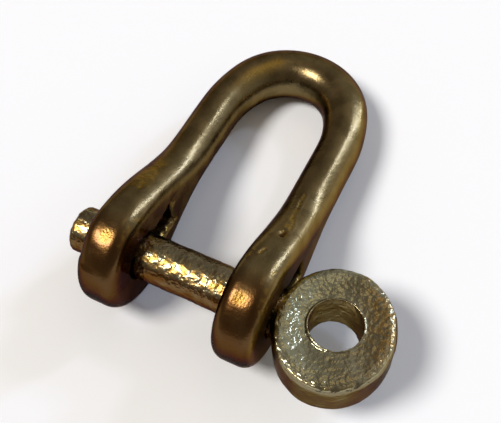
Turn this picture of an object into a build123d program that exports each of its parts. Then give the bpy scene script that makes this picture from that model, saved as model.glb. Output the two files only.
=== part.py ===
from build123d import *
from math import asin, cos, degrees, pi, sin
import os

# Key-pin bow shackle, cast in brass: a bow with two ears, and a pin with an eye head.
# It is drawn with the pin along X, the crown towards +Y and the bow's plane level, and
# each finished piece is then leant over the pin, so that the shackle lies on its two ears
# and its crown. The origin is the middle of the pin, between the ears.

# ---------------------------------------------------------------- driving dimensions, mm
# Bow
jaw_width = 16.0  # between the inner faces of the ears
ear_thickness = 7.1
ear_radius = 9.7
ear_edge = 2.2  # rounding of the ears' rims
leg_width = 7.3  # the rod in the legs, measured in the bow's plane
leg_height = 8.1  # the same, square to the bow's plane
crown_width = 8.3  # the rod at the top of the crown
crown_height = 8.9
leg_spacing = 22.8  # between the rod's centres where the crown springs
leg_length = 31.0  # pin axis to where the crown springs
crown_rise = 15.1  # from there to the rod's centre at the top
crown_top_radius = 10.4  # of the rod's centre line over the top
taper_length = 21.7  # over which the ear thins down to the rod
leg_bow = 0.2  # how far the legs bulge outwards, half way down the taper

# Pin
pin_diameter = 8.0
pin_clearance = 0.08  # radial, in the ears
pin_stub = 5.2  # past the left ear
stub_edge = 0.9

# Key on the pin, and the keyway through each ear
key_width = 3.7
key_reach = 8.4  # pin axis to the key's tip
key_length = 2.6
key_gap = 0.5  # between the key and the ear that it locks behind
key_edge = 0.5
keyway_clearance = 0.4

# Eye head
eye_along = 9.25  # half its size along the pin
eye_across = 10.35  # half its size across the pin
eye_thickness = 8.3
eye_edge = 1.6
eye_hole_radius = 3.8
eye_hole_edge = 0.6
eye_hole_offset = 0.3  # of the hole from the middle of the eye, towards the crown
eye_flat = 0.3  # how much of the eye is cut off flat, next to the ear
eye_gap = 0.15  # between the eye and the right ear
eye_root = 2.4  # how far the shank runs into the eye
root_edge = 2.3  # rounding of the shank's end inside the eye

# ---------------------------------------------------------------- places that follow
pin_radius = pin_diameter / 2
ear_outer = jaw_width / 2 + ear_thickness
ear_middle = jaw_width / 2 + ear_thickness / 2
leg_side = leg_spacing / 2
pin_end = ear_outer + pin_stub
key_inner = ear_outer + key_gap
eye_centre = ear_outer + eye_gap + eye_along - eye_flat
shank_length = pin_end + ear_outer + eye_gap + eye_root

# The crown's centre line is three arcs: a shoulder, the top and the other shoulder.
top_centre = leg_length + crown_rise - crown_top_radius
top_offset = crown_rise - crown_top_radius
shoulder_radius = (leg_side**2 + top_offset**2 - crown_top_radius**2) / (2 * (leg_side - crown_top_radius))
centre_gap = shoulder_radius - crown_top_radius
meet_x = crown_top_radius * (shoulder_radius - leg_side) / centre_gap
meet_y = top_centre + crown_top_radius * top_offset / centre_gap

# The floor touches the ears and the underside of the crown.
lean = degrees(asin((ear_radius - crown_height / 2) / (leg_length + crown_rise)))
lying = Location((0, 0, 0), (-lean, 0, 0))

# Outlines of the rod are drawn at these many even steps, about 3 mm apart.
leg_steps = 10
crown_steps = 16
roundest = 0.49  # of the rod's narrower side, as its corner radius


def ease(share):
    """Go from 0 to 1, level at both ends, as the share goes from 0 to 1."""
    return (1 - cos(pi * share)) / 2


def rod_outline(centre, along, width, height, corner):
    """The rod's outline, square to the direction it runs in."""
    with BuildSketch(Plane(centre, x_dir=Vector(0, 0, 1).cross(along), z_dir=along)) as outline:
        RectangleRounded(width, height, corner)
    return outline.sketch


def leg_outline(side, step):
    """An outline of one leg, which starts as tall as its ear and thins down to the rod."""
    y = leg_length * step / leg_steps
    share = min(y / taper_length, 1)
    middle = ear_middle + (leg_side - ear_middle) * y / leg_length
    bulge = leg_bow * sin(pi * share) ** 2
    width = ear_thickness + (leg_width - ear_thickness) * share
    height = 2 * ear_radius + (leg_height - 2 * ear_radius) * ease(share)
    corner = ear_edge + (roundest * leg_width - ear_edge) * sin(pi / 2 * share)
    return rod_outline(Vector(side * (middle + bulge), y), Vector(0, -side), width, height, corner)


def crown_outline(step):
    """An outline of the crown, which is a little stouter at its top than the legs are."""
    centre = crown_path @ (step / crown_steps)
    along = crown_path % (step / crown_steps)
    stoutness = ease((centre.Y - leg_length) / crown_rise)
    width = leg_width + (crown_width - leg_width) * stoutness
    height = leg_height + (crown_height - leg_height) * stoutness
    return rod_outline(centre, along, width, height, roundest * width)


def keyed_outline(radius, width, reach):
    """Draw a round shank with a key that points at the crown."""
    Circle(radius)
    Rectangle(reach, width, align=(Align.MIN, Align.CENTER))


os.makedirs("parts", exist_ok=True)

# ---------------------------------------------------------------- bow
with BuildLine(mode=Mode.PRIVATE) as crown:
    RadiusArc((-leg_side, leg_length), (-meet_x, meet_y), shoulder_radius)
    RadiusArc((-meet_x, meet_y), (meet_x, meet_y), crown_top_radius)
    RadiusArc((meet_x, meet_y), (leg_side, leg_length), shoulder_radius)
crown_path = crown.wire()

with BuildPart() as bow:
    for side in (-1, 1):
        with BuildSketch(Plane.XZ) as ear:
            with Locations((side * ear_middle, 0)):
                Rectangle(ear_thickness, ear_radius, align=(Align.CENTER, Align.MIN))
            fillet(ear.vertices().group_by(Axis.Y)[-1], ear_edge)
        revolve(axis=Axis.X, revolution_arc=180)

    left_leg = [leg_outline(-1, step) for step in range(leg_steps)]
    crown_rod = [crown_outline(step) for step in range(crown_steps + 1)]
    right_leg = [leg_outline(1, step) for step in reversed(range(leg_steps))]
    loft(left_leg + crown_rod + right_leg)

    with BuildSketch(Plane.YZ):
        keyed_outline(
            pin_radius + pin_clearance,
            key_width + 2 * keyway_clearance,
            key_reach + keyway_clearance,
        )
    extrude(amount=ear_outer + leg_width, both=True, mode=Mode.SUBTRACT)

bow.part.locate(lying)
bow.part.label = "bow"
export_step(bow.part, "parts/bow.step")

# ---------------------------------------------------------------- pin
with BuildPart() as pin:
    with BuildSketch():
        with Locations((eye_centre, 0)):
            Ellipse(eye_along, eye_across)
    extrude(amount=eye_thickness / 2, both=True)
    fillet(pin.edges().filter_by(GeomType.ELLIPSE), eye_edge)
    with Locations((eye_centre, eye_hole_offset)):
        Hole(eye_hole_radius)
    fillet(pin.edges().filter_by(GeomType.CIRCLE), eye_hole_edge)
    split(bisect_by=Plane.YZ.offset(ear_outer + eye_gap), keep=Keep.TOP)

    with BuildSketch() as shank:
        with Locations((-pin_end, 0)):
            Rectangle(shank_length, pin_radius, align=(Align.MIN, Align.MIN))
        stub_corner, root_corner = shank.vertices().group_by(Axis.Y)[-1].sort_by(Axis.X)
        fillet(stub_corner, stub_edge)
        fillet(root_corner, root_edge)
    revolve(axis=Axis.X)

    with BuildSketch(Plane.YZ.offset(-key_inner - key_length)):
        keyed_outline(pin_radius / 2, key_width, key_reach)
    key = extrude(amount=key_length)
    fillet(key.edges().group_by(Axis.Y)[-1], key_edge)

pin.part.locate(lying)
pin.part.label = "pin"
export_step(pin.part, "parts/pin.step")
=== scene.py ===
from math import atan2, cos, radians, sin

import bmesh
import bpy
from mathutils import Matrix, Vector, noise


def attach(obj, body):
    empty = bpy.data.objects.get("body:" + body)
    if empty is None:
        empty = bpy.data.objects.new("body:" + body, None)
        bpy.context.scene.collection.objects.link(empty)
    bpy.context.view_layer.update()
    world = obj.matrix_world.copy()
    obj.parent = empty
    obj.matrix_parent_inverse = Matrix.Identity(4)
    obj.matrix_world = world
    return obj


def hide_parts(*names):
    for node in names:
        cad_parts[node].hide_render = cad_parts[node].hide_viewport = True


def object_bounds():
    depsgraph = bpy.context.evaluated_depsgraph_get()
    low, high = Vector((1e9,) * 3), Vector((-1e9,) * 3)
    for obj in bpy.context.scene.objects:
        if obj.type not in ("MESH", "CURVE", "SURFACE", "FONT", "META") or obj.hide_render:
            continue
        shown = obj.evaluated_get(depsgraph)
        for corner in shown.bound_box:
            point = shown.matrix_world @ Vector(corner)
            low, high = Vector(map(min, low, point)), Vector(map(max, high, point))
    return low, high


# Key-pin bow shackle, cast in brass. The bow and the pin are each one casting, so each is
# one piece here: the CAD shape with its skin remade in small even faces, which then takes
# the roughness, pits and knocks of the casting. Everything is in metres, in the CAD frame.

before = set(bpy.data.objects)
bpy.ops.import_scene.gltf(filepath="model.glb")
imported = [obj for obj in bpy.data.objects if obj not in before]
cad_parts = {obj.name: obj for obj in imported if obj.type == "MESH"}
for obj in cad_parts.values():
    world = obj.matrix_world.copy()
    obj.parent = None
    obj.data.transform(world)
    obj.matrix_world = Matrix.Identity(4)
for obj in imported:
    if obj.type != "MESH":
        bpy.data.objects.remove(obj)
cad_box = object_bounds()

mm = 0.001

# ---------------------------------------------------------------- sizes, mm and degrees
lean = 6.54  # the shackle lies leant over its pin by this much
ear_inner = 8.0  # from the middle of the shackle to the ears' inner faces
ear_outer = 15.1  # and to their outer faces
eye_centre = Vector((24.2, 0.3, 0.0))  # of the hole through the eye
keyway_half_width = 2.25
keyway_reach = 8.8  # from the pin's axis to the keyways' ends

bow_skin = 0.26  # size of the bow's faces
pin_skin = 0.20  # the pin is rougher, so its faces are smaller
merge_distance = 0.001
bow_softening = 6  # how many times the skin is evened out, which softens the edges
pin_softening = 3

# Places of the bow's marks and of its painted glints, with x towards the eye, y towards
# the crown and the bow level.
# Those with a height of 0 are seen from above.
rim_knocks = (Vector((-11.2, -3.6, 8.9)), Vector((11.2, -4.2, 8.8)))
rim_glint_lines = (
    (Vector((-9.0, -4.0, 0)), Vector((-8.4, 2.0, 0))),
    (Vector((14.3, -5.0, 0)), Vector((13.9, 2.0, 0))),
)
crown_glint_lines = (
    (Vector((-9.6, 34.0, 0)), Vector((-8.3, 39.3, 0))),
    (Vector((-8.3, 39.3, 0)), Vector((-5.2, 43.4, 0))),
)
scuff = (Vector((-11.9, 7.0, 0)), Vector((-12.3, 13.5, 0)))
cuts = (  # start, end and depth of two long strokes and two nicks
    (Vector((11.7, 10.3, 0)), Vector((10.9, 18.8, 0)), 0.18),
    (Vector((12.4, 10.0, 0)), Vector((10.9, 17.0, 0)), 0.16),
    (Vector((10.5, 3.3, 0)), Vector((10.9, 4.4, 0)), 0.24),
    (Vector((9.2, 2.4, 0)), Vector((9.5, 3.1, 0)), 0.24),
)
torn_pit = Vector((12.1, 8.8, 7.6))

# How deep the bow's skin is cut
wave_depth = 0.05
ripple_depth = 0.022
knock_depth = 0.08
scuff_depth = 0.07
burr_height = 0.09  # of the metal that a cut throws up beside it
torn_depth = 0.3
mould_step = 0.2
ragged_depth = 0.35

# How far it is worn to bare metal, or painted bright as if lit, from 0 to 1
flank_sheen = 0.2
low_flank_sheen = 0.45
painted_light_by_eye = 0.3
rim_glint = 0.3
crown_glint = 0.5
cut_wear = 0.55
torn_wear = 0.4
ragged_wear = 0.7

# How dark its painted shade is, and the torn pit, from 0 to 1
inner_face_shade = 0.2
rim_shade = 0.9
underside_shade = 0.6
torn_dirt = 0.7

# The pin's skin, in the same measures
coarse_sand_depth = 0.08
fine_sand_depth = 0.13
lump_depth = 0.25
wall_smoothness = 0.6  # share of the sand that is missing from the eye's outer wall
glitter_height = 0.08
eye_dish = 0.35
eye_dish_by_ear = 0.3  # how much deeper the dish is next to the ear
lip_height = 0.12
eye_oval = 0.25

# How bright the pin is made, from 0 to 1: painted highlights and glitter, and wear at the lip and
# the hole's wall
shank_front_highlight = 0.8
glitter_brightness = 0.38
lip_wear_and_highlight = 0.35
hole_wear = 0.4

# How dark the pin is made, from 0 to 1: painted shade and a painted reflection in places, and a
# darker tone elsewhere
wall_dark_reflection = 0.6
shank_under_shade = 0.9
shank_top_darkening = 0.6
shank_dirt = 0.35
eye_dirt = 0.18
eye_far_darkening = 0.35  # how much darker the eye is on the side away from the ear
near_ear_shade = 0.5

# ---------------------------------------------------------------- helpers


def linear(hex_colour):
    """Turn a hex sRGB colour into linear red, green, blue and alpha."""
    values = [int(hex_colour[i : i + 2], 16) / 255 for i in (1, 3, 5)]
    return [v / 12.92 if v <= 0.04045 else ((v + 0.055) / 1.055) ** 2.4 for v in values] + [1.0]


def add_node(tree, kind, settings=None, links=None):
    """Add a node, set its properties or sockets, and link its inputs.

    They go by name, or by number where a node's sockets share one name, as a Math node's do.
    """
    node = tree.nodes.new(kind)
    for key, value in (settings or {}).items():
        if isinstance(key, int) or key in node.inputs:
            node.inputs[key].default_value = value
        else:
            setattr(node, key, value)
    for key, source in (links or {}).items():
        tree.links.new(source, node.inputs[key])
    return node


def bake_modifiers(piece):
    """Make a piece's modifiers part of its mesh."""
    bpy.context.view_layer.update()
    finished = piece.evaluated_get(bpy.context.evaluated_depsgraph_get())
    baked = bpy.data.meshes.new_from_object(finished)
    piece.modifiers.clear()
    piece.data = baked


def cast_piece(node, name, face_size, softening):
    """Copy a CAD node and remake its skin in small even faces, with soft edges."""
    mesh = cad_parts[node].data.copy()
    skin = bmesh.new()
    skin.from_mesh(mesh)
    bmesh.ops.remove_doubles(skin, verts=skin.verts, dist=merge_distance * mm)
    skin.to_mesh(mesh)
    skin.free()
    mesh.materials.clear()
    piece = bpy.data.objects.new(name, mesh)
    bpy.context.scene.collection.objects.link(piece)
    remesh = piece.modifiers.new("Even skin", "REMESH")
    remesh.mode = "VOXEL"
    remesh.voxel_size = face_size * mm
    soften = piece.modifiers.new("Soft edges", "SMOOTH")
    soften.factor = 0.5
    soften.iterations = softening
    bake_modifiers(piece)
    piece.data.shade_smooth()
    return piece


def finish_skin(piece, surface_at):
    """Work over a piece's skin, vertex by vertex.

    surface_at takes a point in mm and its normal, both with the shackle turned level. It
    gives how deep to cut in mm, how bare the metal is, from wear or as painted light, and
    how dark the skin is, from dirt or as painted shade.
    """
    turn = Matrix.Rotation(radians(lean), 3, "X")
    shape = bmesh.new()
    shape.from_mesh(piece.data)
    shape.normal_update()
    wear_and_sheen_layer = shape.verts.layers.float.new("wear_and_sheen")
    dark_layer = shape.verts.layers.float.new("dark")
    depths = []
    for vertex in shape.verts:
        depth, wear_and_sheen, dark = surface_at(turn @ vertex.co / mm, turn @ vertex.normal)
        depths.append(depth)
        vertex[wear_and_sheen_layer] = min(max(wear_and_sheen, 0.0), 1.0)
        vertex[dark_layer] = min(max(dark, 0.0), 1.0)
    for vertex, depth in zip(shape.verts, depths):
        vertex.co -= vertex.normal * depth * mm
    shape.to_mesh(piece.data)
    shape.free()


def step(low, high, value):
    """Go smoothly from 0 to 1 as the value goes from low to high, or down where high is less."""
    share = min(max((value - low) / (high - low), 0.0), 1.0)
    return share * share * (3 - 2 * share)


def off_line(point, start, end):
    """How far a point is from a line between two others, seen from above, in mm."""
    along = (end - start).to_2d()
    share = (point - start).to_2d().dot(along) / along.length_squared
    return ((point - start).to_2d() - along * min(max(share, 0.0), 1.0)).length


def grain(point, size, seed=0.0):
    """Noise from 0 to 1 with lumps of this size in mm."""
    return 0.5 + 0.5 * noise.noise(point / size + Vector((seed, seed, seed)))


def patchy(point, size):
    """A share from 0.8 to 1.2, in patches of this size in mm."""
    return 0.8 + 0.4 * grain(point, size, seed=1.0)


# ---------------------------------------------------------------- materials


def cast_brass(name, tones, dark, bare, edge, roughness, film, sand, sand_depth, worn_depth):
    """Cast brass: tarnish of two clouded tones, darkened in places by dirt and by painted shade,
    and bare in others from wear and as painted highlights.

    edge is the metal's tint where it is seen edge on, and film is how much oil and oxide lies
    on it. sand is the size of its grains in mm. They stand sand_depth high in the tarnish and
    worn_depth high in the bare metal.
    """
    cloud_size = 3.0  # mm
    tone_places = (0.38, 0.62)
    roughened = 0.15  # bare metal is this much rougher
    material = bpy.data.materials.new(name)
    material.use_nodes = True
    tree = material.node_tree
    shader = tree.nodes["Principled BSDF"]
    place = add_node(tree, "ShaderNodeTexCoord").outputs["Object"]
    cloud = add_node(
        tree,
        "ShaderNodeTexNoise",
        {"Scale": 1 / (cloud_size * mm), "Detail": 6.0},
        {"Vector": place},
    )
    tarnish = add_node(tree, "ShaderNodeValToRGB", {}, {"Fac": cloud.outputs["Fac"]})
    for stop, position, tone in zip(tarnish.color_ramp.elements, tone_places, tones):
        stop.position = position
        stop.color = linear(tone)
    darkness = add_node(tree, "ShaderNodeAttribute", {"attribute_name": "dark"}).outputs["Fac"]
    wear_and_sheen_share = add_node(tree, "ShaderNodeAttribute", {"attribute_name": "wear_and_sheen"}).outputs["Fac"]
    darkened = add_node(
        tree,
        "ShaderNodeMixRGB",
        {"Color2": linear(dark)},
        {"Fac": darkness, "Color1": tarnish.outputs["Color"]},
    )
    wear_and_sheen = add_node(
        tree,
        "ShaderNodeMixRGB",
        {"Color2": linear(bare)},
        {"Fac": wear_and_sheen_share, "Color1": darkened.outputs["Color"]},
    )
    specks = add_node(
        tree,
        "ShaderNodeTexNoise",
        {"Scale": 1 / (sand * mm), "Detail": 1.5},
        {"Vector": place},
    )
    gloss = add_node(
        tree,
        "ShaderNodeMapRange",
        {"From Min": 0.3, "From Max": 0.7, "To Min": roughness[0], "To Max": roughness[1]},
        {"Value": cloud.outputs["Fac"]},
    )
    sand_height = add_node(
        tree,
        "ShaderNodeMath",
        {"operation": "MULTIPLY_ADD", 1: (worn_depth - sand_depth) * mm, 2: sand_depth * mm},
        {0: wear_and_sheen_share},
    )
    bump = add_node(
        tree,
        "ShaderNodeBump",
        {"Strength": 1.0},
        {"Height": specks.outputs["Fac"], "Distance": sand_height.outputs["Value"]},
    )
    rubbed = add_node(
        tree,
        "ShaderNodeMath",
        {"operation": "MULTIPLY_ADD", 1: roughened},
        {0: wear_and_sheen_share, 2: gloss.outputs["Result"]},
    )
    # The film's own gloss is white rather than brassy.
    shader.inputs["Coat Weight"].default_value = film
    shader.inputs["Coat Roughness"].default_value = 0.1
    shader.inputs["Specular Tint"].default_value = linear(edge)
    shader.inputs["Metallic"].default_value = 1.0
    tree.links.new(wear_and_sheen.outputs["Color"], shader.inputs["Base Color"])
    tree.links.new(rubbed.outputs["Value"], shader.inputs["Roughness"])
    tree.links.new(bump.outputs["Normal"], shader.inputs["Normal"])
    tree.links.new(bump.outputs["Normal"], shader.inputs["Coat Normal"])
    return material


def floor_white():
    """Matt white paper, which has no shine and shows only the shadow."""
    material = bpy.data.materials.new("Matt white paper")
    material.use_nodes = True
    shader = material.node_tree.nodes["Principled BSDF"]
    shader.inputs["Base Color"].default_value = linear("#f6f9fb")
    shader.inputs["Roughness"].default_value = 1.0
    shader.inputs["Specular IOR Level"].default_value = 0.0
    return material


# ---------------------------------------------------------------- bow


def painted_shade_on_bow(point, normal):
    """Painted shade, on the faces round the pin, on the ears' rims and on the undersides."""
    x, y, z = point
    from_axis = Vector((y, z)).length
    inner_face = step(ear_inner + 1.6, ear_inner + 0.2, abs(x)) * step(13.0, 9.0, from_axis)
    under_rim = step(7.2, 4.5, z) * step(5.0, 0.0, y)
    front_rim = step(1.0, -3.0, y)
    underside = step(0.05, -0.4, normal.z)
    return patchy(point, 2.5) * max(
        inner_face_shade * inner_face,
        rim_shade * under_rim,
        rim_shade * front_rim,
        underside_shade * underside,
    )


def cuts_on_leg(point):
    """The right leg has a long scratch of two strokes that meet, two nicks and a torn pit."""
    depth = 0.0
    wear_and_sheen = 0.0
    waver = Vector((0.4 * (grain(point, 3.0, seed=6.0) - 0.5), 0, 0))
    broken = step(0.4, 0.55, grain(point, 0.45, seed=2.0))
    for start, end, cut in cuts:
        off_cut = off_line(point + waver, start, end)
        depth += cut * step(0.32, 0.08, off_cut) - burr_height * step(0.6, 0.35, off_cut)
        wear_and_sheen = max(wear_and_sheen, cut_wear * broken * step(0.42, 0.15, off_cut))
    off_pit = (point + 5.0 * waver - torn_pit).length
    pit = step(1.2, 0.4, off_pit)
    ridge = step(0.4, 0.6, grain(point, 0.45, seed=8.0))
    depth += torn_depth * pit * (1 - ridge)
    wear_and_sheen = max(wear_and_sheen, torn_wear * pit * ridge)
    return depth, wear_and_sheen, torn_dirt * pit


def bow_surface(point, normal):
    """Tumbled smooth over a slow waviness, with pits, scratches and knocks from use."""
    x, y, z = point
    depth = wave_depth * grain(point, 5.0) + ripple_depth * grain(point, 0.7, seed=7.0)
    dark = painted_shade_on_bow(point, normal)

    # The ear's outer face beside the eye is painted paler, as painted light in that crevice, and
    # loses half of its painted shade.
    from_axis = Vector((y, z)).length
    by_eye = step(ear_outer - 0.9, ear_outer - 0.1, x) * step(11.0, 8.5, from_axis)
    wear_and_sheen = painted_light_by_eye * by_eye
    dark *= 1 - 0.5 * by_eye

    # The right leg's outer side is painted paler, most of all low down, as a painted reflection of
    # the floor, and loses its painted shade.
    lit_flank = step(0.4, 0.9, normal.x) * step(10.0, 12.0, x) * step(3.0, 7.0, y)
    wear_and_sheen = max(wear_and_sheen, flank_sheen * lit_flank, low_flank_sheen * lit_flank * step(4.0, 0.0, z))
    dark *= 1 - lit_flank

    # The ears' rims are pitted where they knock about, and bright at the pits, partly from wear
    # and partly as a painted highlight where the lamp's highlight falls on the rims.
    for knock in rim_knocks:
        patch = step(1.5, 0.3, (point - knock).length)
        if patch > 0:
            pit = grain(point, 0.6, seed=2.0)
            depth += knock_depth * patch * pit
            wear_and_sheen = max(wear_and_sheen, patch * (0.15 + 0.35 * pit))

    # Broken painted highlights run along their upper edges.
    if z > 5:
        broken = step(0.35, 0.6, grain(point, 0.7, seed=5.0))
        for start, end in rim_glint_lines:
            on_edge = step(0.5, 0.1, off_line(point, start, end))
            wear_and_sheen = max(wear_and_sheen, rim_glint * on_edge * broken)

    # A painted highlight runs along the crown's left shoulder.
    if z > 3 and y > 30:
        off_crown_glint = min(off_line(point, start, end) for start, end in crown_glint_lines)
        wear_and_sheen = max(wear_and_sheen, crown_glint * step(1.8, 0.0, off_crown_glint) * step(33.0, 41.0, y))

    # A place on the left leg is rubbed coppery, with the roughness of the sand still in it.
    if z > 2 and x < 0:
        frayed = off_line(point, *scuff) + 1.6 * grain(point, 1.6, seed=3.0)
        rubbed = step(2.3, 1.2, frayed)
        grains = 0.5 * grain(point, 0.8, seed=4.0) + 0.5 * grain(point, 0.4, seed=9.0)
        sand = step(0.45, 0.6, grains)
        depth += scuff_depth * rubbed * sand
        wear_and_sheen = max(wear_and_sheen, rubbed * (0.25 + 0.3 * sand))

    if z > 2 and x > 0:
        cut_depth, cut_worn, cut_dark = cuts_on_leg(point)
        depth += cut_depth
        wear_and_sheen = max(wear_and_sheen, cut_worn)
        dark = max(dark, cut_dark)

    # The mould halves were a little out of line at the left ear.
    at_parting = step(4.6, 5.6, z) * step(9.3, 7.5, z)
    depth += mould_step * at_parting * step(-11.0, -13.8, x) * step(-3.0, -6.5, y)

    # The keyways' edges are ragged inside the jaw, as they were cast and never cleaned up.
    off_edge = abs(abs(z) - keyway_half_width)
    along_keyway = step(2.0, 4.0, y) * step(keyway_reach + 1.7, keyway_reach + 0.2, y)
    in_jaw = step(ear_inner + 1.0, ear_inner + 0.2, abs(x))
    ragged = step(1.1, 0.2, off_edge) * along_keyway * in_jaw
    depth += ragged_depth * ragged * step(0.4, 0.65, grain(point, 0.7, seed=9.0))
    wear_and_sheen = max(wear_and_sheen, ragged_wear * ragged * step(0.5, 0.6, grain(point, 0.4, seed=5.0)))
    return depth, wear_and_sheen, dark


bow = cast_piece("bow", "Bow_casting", bow_skin, bow_softening)
finish_skin(bow, bow_surface)

# Tumbled after casting and browned by handling, so glossy, olive brown and streaky. The sand
# it was cast in has grains of about 0.2 mm, which are drawn coarser so that they show.
bow_brass = cast_brass(
    "Tumbled cast brass, browned",
    tones=("#685a3c", "#7a6a48"),
    # dark is mostly the painted shade's colour, and bare is the colour of wear and of painted
    # highlights
    dark="#573b1d",
    bare="#a8852f",
    edge="#7d6342",
    roughness=(0.24, 0.32),
    film=0.11,
    sand=0.35,
    sand_depth=0.022,
    worn_depth=0.15,
)
bow.data.materials.append(bow_brass)
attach(bow, "bow")
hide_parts("bow")

# ---------------------------------------------------------------- pin


def pin_surface(point, normal):
    """Rough from the sand, with a painted highlight along the front of the shank and painted shade
    below it.
    """
    x, y, z = point
    around = point - eye_centre
    from_hole = around.to_2d().length
    on_eye = step(ear_outer, ear_outer + 1.0, x)
    on_shank = 1 - on_eye
    upright = on_eye * step(0.85, 0.5, abs(normal.z))
    wall = upright * step(5.5, 6.5, from_hole)
    hole_wall = upright - wall
    coarse_sand = coarse_sand_depth * grain(point, 0.9)
    fine_sand = fine_sand_depth * grain(point, 0.5, seed=3.0)
    depth = (1 - wall_smoothness * wall) * (coarse_sand + fine_sand)
    depth += lump_depth * grain(point, 3.5, seed=6.0)

    # A painted highlight runs along the front of the shank, on the tops of its grains, with
    # painted shade below it. The shank is darker on its top too.
    shank_front = on_shank * step(0.1, -0.3, normal.y)
    shank_under = on_shank * step(0.85, 0.6, normal.z) * step(0.0, -0.3, normal.y)
    shank_top = on_shank * step(-0.25, 0.05, normal.y)
    on_grains = step(0.3, 0.6, grain(point, 0.8, seed=2.0))
    wear_and_sheen = shank_front_highlight * shank_front * (1 - shank_under) * on_grains

    # The eye is darker away from the ear, with painted shade right beside it, and its outer wall
    # is darkened as a painted reflection.
    away_from_ear = step(-4.0, 6.0, 0.83 * around.x + 0.1 * around.y)
    near_ear = on_eye * step(3.0, 0.5, x - ear_outer)
    dark = patchy(point, 1.5) * max(
        wall_dark_reflection * wall,
        shank_under_shade * shank_under,
        shank_top_darkening * shank_top,
        shank_dirt * on_shank,
        on_eye * (eye_dirt + eye_far_darkening * away_from_ear),
        near_ear_shade * near_ear,
    )

    # On the eye's far side the tops of its grains are raised and painted bright, a painted
    # glitter.
    glitter_side = on_eye * step(3.0, 6.0, 0.83 * around.x + 0.4 * around.y) * (1 - upright)
    grain_tops = step(0.45, 0.62, grain(point, 0.55, seed=4.0))
    wear_and_sheen = max(wear_and_sheen, glitter_brightness * glitter_side * grain_tops)
    depth -= glitter_height * glitter_side * grain(point, 0.45, seed=4.0)

    # The eye's faces are a little dished, most of all next to the ear.
    dish = eye_dish + eye_dish_by_ear * step(2.0, -4.0, around.x)
    depth += on_eye * dish * step(9.0, 4.0, from_hole) * step(0.7, 1.0, abs(normal.z))

    # The eye's top has a sharp lip along its front, bright partly from wear and partly as a
    # painted highlight, and the hole's wall is rubbed bright.
    rim = on_eye * step(0.93, 0.86, normal.z) * step(0.6, 0.72, normal.z)
    front = step(7.0, 8.0, from_hole) * step(1.5, -1.5, around.y)
    lip = rim * front * step(0.3, 0.55, grain(point, 1.3, seed=5.0))
    depth -= lip_height * lip
    wear_and_sheen = max(wear_and_sheen, lip_wear_and_highlight * lip, hole_wear * hole_wall)
    dark *= 1 - lip

    # The eye's outline is a little out of round.
    bearing = atan2(around.y, around.x)
    depth += wall * eye_oval * (0.5 + 0.5 * sin(2 * bearing - 0.3))
    return depth, wear_and_sheen, dark


pin = cast_piece("pin", "Pin_casting", pin_skin, pin_softening)
finish_skin(pin, pin_surface)

# Left as it came out of the sand, so its grains glitter, grey green to gold. They too are
# drawn coarser than the real ones, so that they show.
pin_brass = cast_brass(
    "Sand-cast brass, as cast",
    tones=("#9da086", "#afb298"),
    # dark is the colour of painted shade, of a painted reflection and of the darker tone, and bare
    # is the colour of wear and painted highlights
    dark="#684720",
    bare="#ae8329",
    edge="#7a6238",
    roughness=(0.16, 0.24),
    film=0.08,
    sand=0.42,
    sand_depth=0.08,
    worn_depth=0.08,
)
pin.data.materials.append(pin_brass)
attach(pin, "pin")
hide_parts("pin")

# ---------------------------------------------------------------- floor
floor_shape = bmesh.new()
bmesh.ops.create_circle(floor_shape, cap_ends=True, segments=96, radius=20.0)
bmesh.ops.translate(floor_shape, verts=floor_shape.verts, vec=(0, 0, cad_box[0][2]))
floor_mesh = bpy.data.meshes.new("Floor")
floor_shape.to_mesh(floor_mesh)
floor_shape.free()
floor_mesh.materials.append(floor_white())
floor = bpy.data.objects.new("Floor", floor_mesh)
bpy.context.scene.collection.objects.link(floor)

# ---------------------------------------------------------------- light


def add_sun(name, azimuth, height, strength, spread, colour):
    """A far lamp. Its azimuth runs from the front of the shackle towards its right."""
    lamp = bpy.data.lights.new(name, "SUN")
    lamp.energy = strength
    lamp.angle = radians(spread)
    lamp.color = linear(colour)[:3]
    lamp_object = bpy.data.objects.new(name, lamp)
    side, up = radians(azimuth), radians(height)
    towards = Vector((sin(side) * cos(up), -cos(side) * cos(up), sin(up)))
    lamp_object.rotation_euler = towards.to_track_quat("Z", "Y").to_euler()
    bpy.context.scene.collection.objects.link(lamp_object)


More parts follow.
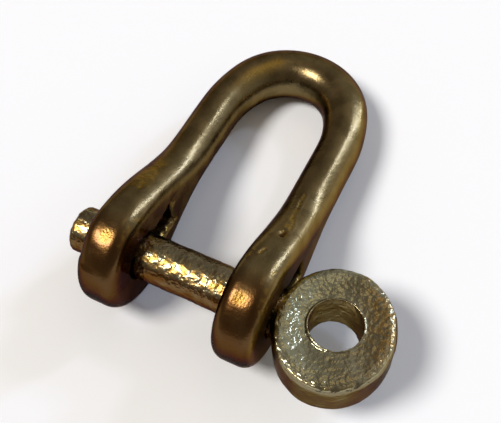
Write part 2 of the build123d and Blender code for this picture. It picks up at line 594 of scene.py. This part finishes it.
# The lamp at the front left casts the shadow, and the window at the back right draws the
# bright streaks along the legs. The ceiling lamp only warms what faces up.
daylight = "#c6d8ff"
sky = "#d2e0ff"
add_sun("Lamp", azimuth=-52, height=58, strength=2.38, spread=20, colour="#fffaf6")
add_sun("Ceiling lamp", azimuth=178, height=65, strength=0.05, spread=16, colour="#ffdf9e")
add_sun("Window sill", azimuth=148, height=4, strength=0.36, spread=6, colour=daylight)
add_sun("Window, lower pane", azimuth=147, height=14, strength=0.36, spread=6, colour=daylight)
add_sun("Window, middle pane", azimuth=148, height=26, strength=0.5, spread=6, colour=daylight)
add_sun("Window, upper pane", azimuth=151, height=38, strength=0.4, spread=6, colour=sky)

# The room is a warm grey, and paler towards its bright corner.
bright_corner = (0.64, 0.7, 0.32)
shade_places = (0.3, 0.9)
shade_tones = ("#857a70", "#cccac4")
world = bpy.data.worlds.new("Studio room")
world.use_nodes = True
room = world.node_tree
direction = add_node(room, "ShaderNodeTexCoord").outputs["Generated"]
nearness = add_node(
    room,
    "ShaderNodeVectorMath",
    {"operation": "DOT_PRODUCT", 1: bright_corner},
    {0: direction},
)
shade = add_node(room, "ShaderNodeValToRGB", {}, {"Fac": nearness.outputs["Value"]})
for stop, position, tone in zip(shade.color_ramp.elements, shade_places, shade_tones):
    stop.position = position
    stop.color = linear(tone)
room.links.new(shade.outputs["Color"], room.nodes["Background"].inputs["Color"])
room.nodes["Background"].inputs["Strength"].default_value = 0.9
bpy.context.scene.world = world

# ---------------------------------------------------------------- camera
camera_target = Vector((3.289, 14.576, -1.671)) * mm
camera_distance = 125 * mm
camera_azimuth = radians(33.694)
camera_height = radians(61.821)
camera_roll = radians(-8.558)
away = Vector(
    (
        sin(camera_azimuth) * cos(camera_height),
        -cos(camera_azimuth) * cos(camera_height),
        sin(camera_height),
    )
)
camera_data = bpy.data.cameras.new("Camera")
camera_data.lens = 54.858
camera_data.sensor_width = 36.0
camera_data.clip_start = 1 * mm
camera = bpy.data.objects.new("Camera", camera_data)
turn = away.to_track_quat("Z", "Y").to_matrix() @ Matrix.Rotation(camera_roll, 3, "Z")
camera.matrix_world = Matrix.Translation(camera_target + away * camera_distance) @ turn.to_4x4()
bpy.context.scene.collection.objects.link(camera)
bpy.context.scene.camera = camera

bpy.context.scene.view_settings.view_transform = "Standard"
